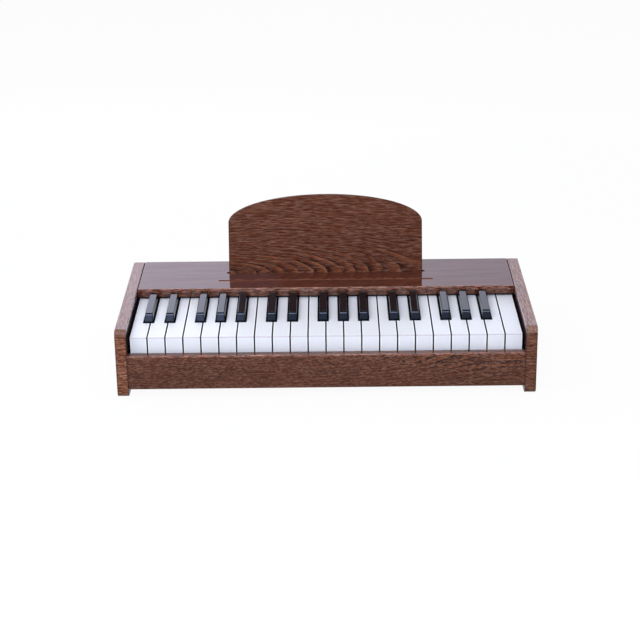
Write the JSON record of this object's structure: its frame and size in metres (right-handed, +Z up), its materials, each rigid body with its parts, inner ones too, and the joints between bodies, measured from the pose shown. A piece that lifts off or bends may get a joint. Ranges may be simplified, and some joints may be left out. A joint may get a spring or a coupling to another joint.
{
  "type": "electronic keyboard",
  "caption": "Compact electronic keyboard with sprung piano keys in a wooden case, a glossy top panel and a curved music stand that lifts out of its slot.",
  "frame": {"origin": "middle of the base, at the level of the surface that the side panels stand on", "axes": "+X along the keys to the treble end, +Y to the back, +Z up"},
  "size_m": [0.552, 0.266, 0.2013],
  "materials": {
    "walnut_veneer": "stained walnut veneer under clear gloss lacquer",
    "fibreboard": "raw medium density fibreboard",
    "beech_batten": "planed beech",
    "frame_plastic": "moulded, matte",
    "steel": "drawn and zinc plated",
    "contact_rubber": "moulded silicone rubber",
    "circuit_board": "green solder mask",
    "red_felt": "pressed wool felt",
    "black_plastic": "moulded, fine spark texture",
    "speaker_parts": "black painted basket with paper cone",
    "wire_jacket": "soft insulation",
    "screw_steel": "black zinc",
    "white_key_plastic": "polished moulding",
    "black_key_plastic": "satin gloss moulding"
  },
  "bodies": {
    "case": {"left_side_panel": "walnut_veneer", "right_side_panel": "walnut_veneer", "top_panel": "walnut_veneer", "front_rail": "walnut_veneer", "back_panel": "walnut_veneer", "bottom_panel": "fibreboard", "case_battens": "beech_batten", "stand_socket_rail": "beech_batten", "key_frame": "frame_plastic", "key_pivot_rod": "steel", "key_spring_comb": "steel", "rubber_contact_strip": "contact_rubber", "contact_board": "circuit_board", "key_felts": "red_felt", "main_board": "circuit_board", "jack_plate": "black_plastic", "left_speaker": "speaker_parts", "right_speaker": "speaker_parts", "wiring": "wire_jacket", "case_screws": "screw_steel"},
    "music_stand": {"music_stand": "walnut_veneer"},
    "power_switch": {"power_switch": "black_plastic"},
    "volume_knob": {"volume_knob": "black_plastic"},
    "white_key_c3": {"white_key_c3": "white_key_plastic"},
    "black_key_cs3": {"black_key_cs3": "black_key_plastic"},
    "white_key_d3": {"white_key_d3": "white_key_plastic"},
    "black_key_ds3": {"black_key_ds3": "black_key_plastic"},
    "white_key_e3": {"white_key_e3": "white_key_plastic"},
    "white_key_f3": {"white_key_f3": "white_key_plastic"},
    "black_key_fs3": {"black_key_fs3": "black_key_plastic"},
    "white_key_g3": {"white_key_g3": "white_key_plastic"},
    "black_key_gs3": {"black_key_gs3": "black_key_plastic"},
    "white_key_a3": {"white_key_a3": "white_key_plastic"},
    "black_key_as3": {"black_key_as3": "black_key_plastic"},
    "white_key_b3": {"white_key_b3": "white_key_plastic"},
    "white_key_c4": {"white_key_c4": "white_key_plastic"},
    "black_key_cs4": {"black_key_cs4": "black_key_plastic"},
    "white_key_d4": {"white_key_d4": "white_key_plastic"},
    "black_key_ds4": {"black_key_ds4": "black_key_plastic"},
    "white_key_e4": {"white_key_e4": "white_key_plastic"},
    "white_key_f4": {"white_key_f4": "white_key_plastic"},
    "black_key_fs4": {"black_key_fs4": "black_key_plastic"},
    "white_key_g4": {"white_key_g4": "white_key_plastic"},
    "black_key_gs4": {"black_key_gs4": "black_key_plastic"},
    "white_key_a4": {"white_key_a4": "white_key_plastic"},
    "black_key_as4": {"black_key_as4": "black_key_plastic"},
    "white_key_b4": {"white_key_b4": "white_key_plastic"},
    "white_key_c5": {"white_key_c5": "white_key_plastic"},
    "black_key_cs5": {"black_key_cs5": "black_key_plastic"},
    "white_key_d5": {"white_key_d5": "white_key_plastic"},
    "black_key_ds5": {"black_key_ds5": "black_key_plastic"},
    "white_key_e5": {"white_key_e5": "white_key_plastic"},
    "white_key_f5": {"white_key_f5": "white_key_plastic"},
    "black_key_fs5": {"black_key_fs5": "black_key_plastic"},
    "white_key_g5": {"white_key_g5": "white_key_plastic"},
    "black_key_gs5": {"black_key_gs5": "black_key_plastic"},
    "white_key_a5": {"white_key_a5": "white_key_plastic"},
    "black_key_as5": {"black_key_as5": "black_key_plastic"},
    "white_key_b5": {"white_key_b5": "white_key_plastic"},
    "white_key_c6": {"white_key_c6": "white_key_plastic"}
  },
  "joints": [
    {"name": "white_key_c3_press", "type": "hinge", "parent": "case", "child": "white_key_c3", "pos_m": [0, 0.05502, 0.068], "axis": [1, 0, 0], "range_deg": [0, 3.31], "stiffness_Nm_per_rad": 0.9, "springref_deg": -6.88, "deforming": ["key_spring_comb", "rubber_contact_strip"]},
    {"name": "black_key_cs3_press", "type": "hinge", "parent": "case", "child": "black_key_cs3", "pos_m": [0, 0.05502, 0.068], "axis": [1, 0, 0], "range_deg": [0, 4], "stiffness_Nm_per_rad": 0.8, "springref_deg": -6.88, "deforming": ["key_spring_comb", "rubber_contact_strip"]},
    {"name": "white_key_d3_press", "type": "hinge", "parent": "case", "child": "white_key_d3", "pos_m": [0, 0.05502, 0.068], "axis": [1, 0, 0], "range_deg": [0, 3.31], "stiffness_Nm_per_rad": 0.9, "springref_deg": -6.88, "deforming": ["key_spring_comb", "rubber_contact_strip"]},
    {"name": "black_key_ds3_press", "type": "hinge", "parent": "case", "child": "black_key_ds3", "pos_m": [0, 0.05502, 0.068], "axis": [1, 0, 0], "range_deg": [0, 4], "stiffness_Nm_per_rad": 0.8, "springref_deg": -6.88, "deforming": ["key_spring_comb", "rubber_contact_strip"]},
    {"name": "white_key_e3_press", "type": "hinge", "parent": "case", "child": "white_key_e3", "pos_m": [0, 0.05502, 0.068], "axis": [1, 0, 0], "range_deg": [0, 3.31], "stiffness_Nm_per_rad": 0.9, "springref_deg": -6.88, "deforming": ["key_spring_comb", "rubber_contact_strip"]},
    {"name": "white_key_f3_press", "type": "hinge", "parent": "case", "child": "white_key_f3", "pos_m": [0, 0.05502, 0.068], "axis": [1, 0, 0], "range_deg": [0, 3.31], "stiffness_Nm_per_rad": 0.9, "springref_deg": -6.88, "deforming": ["key_spring_comb", "rubber_contact_strip"]},
    {"name": "black_key_fs3_press", "type": "hinge", "parent": "case", "child": "black_key_fs3", "pos_m": [0, 0.05502, 0.068], "axis": [1, 0, 0], "range_deg": [0, 4], "stiffness_Nm_per_rad": 0.8, "springref_deg": -6.88, "deforming": ["key_spring_comb", "rubber_contact_strip"]},
    {"name": "white_key_g3_press", "type": "hinge", "parent": "case", "child": "white_key_g3", "pos_m": [0, 0.05502, 0.068], "axis": [1, 0, 0], "range_deg": [0, 3.31], "stiffness_Nm_per_rad": 0.9, "springref_deg": -6.88, "deforming": ["key_spring_comb", "rubber_contact_strip"]},
    {"name": "black_key_gs3_press", "type": "hinge", "parent": "case", "child": "black_key_gs3", "pos_m": [0, 0.05502, 0.068], "axis": [1, 0, 0], "range_deg": [0, 4], "stiffness_Nm_per_rad": 0.8, "springref_deg": -6.88, "deforming": ["key_spring_comb", "rubber_contact_strip"]},
    {"name": "white_key_a3_press", "type": "hinge", "parent": "case", "child": "white_key_a3", "pos_m": [0, 0.05502, 0.068], "axis": [1, 0, 0], "range_deg": [0, 3.31], "stiffness_Nm_per_rad": 0.9, "springref_deg": -6.88, "deforming": ["key_spring_comb", "rubber_contact_strip"]},
    {"name": "black_key_as3_press", "type": "hinge", "parent": "case", "child": "black_key_as3", "pos_m": [0, 0.05502, 0.068], "axis": [1, 0, 0], "range_deg": [0, 4], "stiffness_Nm_per_rad": 0.8, "springref_deg": -6.88, "deforming": ["key_spring_comb", "rubber_contact_strip"]},
    {"name": "white_key_b3_press", "type": "hinge", "parent": "case", "child": "white_key_b3", "pos_m": [0, 0.05502, 0.068], "axis": [1, 0, 0], "range_deg": [0, 3.31], "stiffness_Nm_per_rad": 0.9, "springref_deg": -6.88, "deforming": ["key_spring_comb", "rubber_contact_strip"]},
    {"name": "white_key_c4_press", "type": "hinge", "parent": "case", "child": "white_key_c4", "pos_m": [0, 0.05502, 0.068], "axis": [1, 0, 0], "range_deg": [0, 3.31], "stiffness_Nm_per_rad": 0.9, "springref_deg": -6.88, "deforming": ["key_spring_comb", "rubber_contact_strip"]},
    {"name": "black_key_cs4_press", "type": "hinge", "parent": "case", "child": "black_key_cs4", "pos_m": [0, 0.05502, 0.068], "axis": [1, 0, 0], "range_deg": [0, 4], "stiffness_Nm_per_rad": 0.8, "springref_deg": -6.88, "deforming": ["key_spring_comb", "rubber_contact_strip"]},
    {"name": "white_key_d4_press", "type": "hinge", "parent": "case", "child": "white_key_d4", "pos_m": [0, 0.05502, 0.068], "axis": [1, 0, 0], "range_deg": [0, 3.31], "stiffness_Nm_per_rad": 0.9, "springref_deg": -6.88, "deforming": ["key_spring_comb", "rubber_contact_strip"]},
    {"name": "black_key_ds4_press", "type": "hinge", "parent": "case", "child": "black_key_ds4", "pos_m": [0, 0.05502, 0.068], "axis": [1, 0, 0], "range_deg": [0, 4], "stiffness_Nm_per_rad": 0.8, "springref_deg": -6.88, "deforming": ["key_spring_comb", "rubber_contact_strip"]},
    {"name": "white_key_e4_press", "type": "hinge", "parent": "case", "child": "white_key_e4", "pos_m": [0, 0.05502, 0.068], "axis": [1, 0, 0], "range_deg": [0, 3.31], "stiffness_Nm_per_rad": 0.9, "springref_deg": -6.88, "deforming": ["key_spring_comb", "rubber_contact_strip"]},
    {"name": "white_key_f4_press", "type": "hinge", "parent": "case", "child": "white_key_f4", "pos_m": [0, 0.05502, 0.068], "axis": [1, 0, 0], "range_deg": [0, 3.31], "stiffness_Nm_per_rad": 0.9, "springref_deg": -6.88, "deforming": ["key_spring_comb", "rubber_contact_strip"]},
    {"name": "black_key_fs4_press", "type": "hinge", "parent": "case", "child": "black_key_fs4", "pos_m": [0, 0.05502, 0.068], "axis": [1, 0, 0], "range_deg": [0, 4], "stiffness_Nm_per_rad": 0.8, "springref_deg": -6.88, "deforming": ["key_spring_comb", "rubber_contact_strip"]},
    {"name": "white_key_g4_press", "type": "hinge", "parent": "case", "child": "white_key_g4", "pos_m": [0, 0.05502, 0.068], "axis": [1, 0, 0], "range_deg": [0, 3.31], "stiffness_Nm_per_rad": 0.9, "springref_deg": -6.88, "deforming": ["key_spring_comb", "rubber_contact_strip"]},
    {"name": "black_key_gs4_press", "type": "hinge", "parent": "case", "child": "black_key_gs4", "pos_m": [0, 0.05502, 0.068], "axis": [1, 0, 0], "range_deg": [0, 4], "stiffness_Nm_per_rad": 0.8, "springref_deg": -6.88, "deforming": ["key_spring_comb", "rubber_contact_strip"]},
    {"name": "white_key_a4_press", "type": "hinge", "parent": "case", "child": "white_key_a4", "pos_m": [0, 0.05502, 0.068], "axis": [1, 0, 0], "range_deg": [0, 3.31], "stiffness_Nm_per_rad": 0.9, "springref_deg": -6.88, "deforming": ["key_spring_comb", "rubber_contact_strip"]},
    {"name": "black_key_as4_press", "type": "hinge", "parent": "case", "child": "black_key_as4", "pos_m": [0, 0.05502, 0.068], "axis": [1, 0, 0], "range_deg": [0, 4], "stiffness_Nm_per_rad": 0.8, "springref_deg": -6.88, "deforming": ["key_spring_comb", "rubber_contact_strip"]},
    {"name": "white_key_b4_press", "type": "hinge", "parent": "case", "child": "white_key_b4", "pos_m": [0, 0.05502, 0.068], "axis": [1, 0, 0], "range_deg": [0, 3.31], "stiffness_Nm_per_rad": 0.9, "springref_deg": -6.88, "deforming": ["key_spring_comb", "rubber_contact_strip"]},
    {"name": "white_key_c5_press", "type": "hinge", "parent": "case", "child": "white_key_c5", "pos_m": [0, 0.05502, 0.068], "axis": [1, 0, 0], "range_deg": [0, 3.31], "stiffness_Nm_per_rad": 0.9, "springref_deg": -6.88, "deforming": ["key_spring_comb", "rubber_contact_strip"]},
    {"name": "black_key_cs5_press", "type": "hinge", "parent": "case", "child": "black_key_cs5", "pos_m": [0, 0.05502, 0.068], "axis": [1, 0, 0], "range_deg": [0, 4], "stiffness_Nm_per_rad": 0.8, "springref_deg": -6.88, "deforming": ["key_spring_comb", "rubber_contact_strip"]},
    {"name": "white_key_d5_press", "type": "hinge", "parent": "case", "child": "white_key_d5", "pos_m": [0, 0.05502, 0.068], "axis": [1, 0, 0], "range_deg": [0, 3.31], "stiffness_Nm_per_rad": 0.9, "springref_deg": -6.88, "deforming": ["key_spring_comb", "rubber_contact_strip"]},
    {"name": "black_key_ds5_press", "type": "hinge", "parent": "case", "child": "black_key_ds5", "pos_m": [0, 0.05502, 0.068], "axis": [1, 0, 0], "range_deg": [0, 4], "stiffness_Nm_per_rad": 0.8, "springref_deg": -6.88, "deforming": ["key_spring_comb", "rubber_contact_strip"]},
    {"name": "white_key_e5_press", "type": "hinge", "parent": "case", "child": "white_key_e5", "pos_m": [0, 0.05502, 0.068], "axis": [1, 0, 0], "range_deg": [0, 3.31], "stiffness_Nm_per_rad": 0.9, "springref_deg": -6.88, "deforming": ["key_spring_comb", "rubber_contact_strip"]},
    {"name": "white_key_f5_press", "type": "hinge", "parent": "case", "child": "white_key_f5", "pos_m": [0, 0.05502, 0.068], "axis": [1, 0, 0], "range_deg": [0, 3.31], "stiffness_Nm_per_rad": 0.9, "springref_deg": -6.88, "deforming": ["key_spring_comb", "rubber_contact_strip"]},
    {"name": "black_key_fs5_press", "type": "hinge", "parent": "case", "child": "black_key_fs5", "pos_m": [0, 0.05502, 0.068], "axis": [1, 0, 0], "range_deg": [0, 4], "stiffness_Nm_per_rad": 0.8, "springref_deg": -6.88, "deforming": ["key_spring_comb", "rubber_contact_strip"]},
    {"name": "white_key_g5_press", "type": "hinge", "parent": "case", "child": "white_key_g5", "pos_m": [0, 0.05502, 0.068], "axis": [1, 0, 0], "range_deg": [0, 3.31], "stiffness_Nm_per_rad": 0.9, "springref_deg": -6.88, "deforming": ["key_spring_comb", "rubber_contact_strip"]},
    {"name": "black_key_gs5_press", "type": "hinge", "parent": "case", "child": "black_key_gs5", "pos_m": [0, 0.05502, 0.068], "axis": [1, 0, 0], "range_deg": [0, 4], "stiffness_Nm_per_rad": 0.8, "springref_deg": -6.88, "deforming": ["key_spring_comb", "rubber_contact_strip"]},
    {"name": "white_key_a5_press", "type": "hinge", "parent": "case", "child": "white_key_a5", "pos_m": [0, 0.05502, 0.068], "axis": [1, 0, 0], "range_deg": [0, 3.31], "stiffness_Nm_per_rad": 0.9, "springref_deg": -6.88, "deforming": ["key_spring_comb", "rubber_contact_strip"]},
    {"name": "black_key_as5_press", "type": "hinge", "parent": "case", "child": "black_key_as5", "pos_m": [0, 0.05502, 0.068], "axis": [1, 0, 0], "range_deg": [0, 4], "stiffness_Nm_per_rad": 0.8, "springref_deg": -6.88, "deforming": ["key_spring_comb", "rubber_contact_strip"]},
    {"name": "white_key_b5_press", "type": "hinge", "parent": "case", "child": "white_key_b5", "pos_m": [0, 0.05502, 0.068], "axis": [1, 0, 0], "range_deg": [0, 3.31], "stiffness_Nm_per_rad": 0.9, "springref_deg": -6.88, "deforming": ["key_spring_comb", "rubber_contact_strip"]},
    {"name": "white_key_c6_press", "type": "hinge", "parent": "case", "child": "white_key_c6", "pos_m": [0, 0.05502, 0.068], "axis": [1, 0, 0], "range_deg": [0, 3.31], "stiffness_Nm_per_rad": 0.9, "springref_deg": -6.88, "deforming": ["key_spring_comb", "rubber_contact_strip"]},
    {"name": "stand_lift", "type": "slide", "parent": "case", "child": "music_stand", "axis": [0, 0.2588, 0.9659], "range_m": [0, 0.031]},
    {"name": "switch_slide", "type": "slide", "parent": "case", "child": "power_switch", "axis": [1, 0, 0], "range_m": [0, 0.004]},
    {"name": "volume_turn", "type": "hinge", "parent": "case", "child": "volume_knob", "pos_m": [0.158, 0.12098, 0.034], "axis": [0, 1, 0], "range_deg": [-150, 150]}
  ]
}
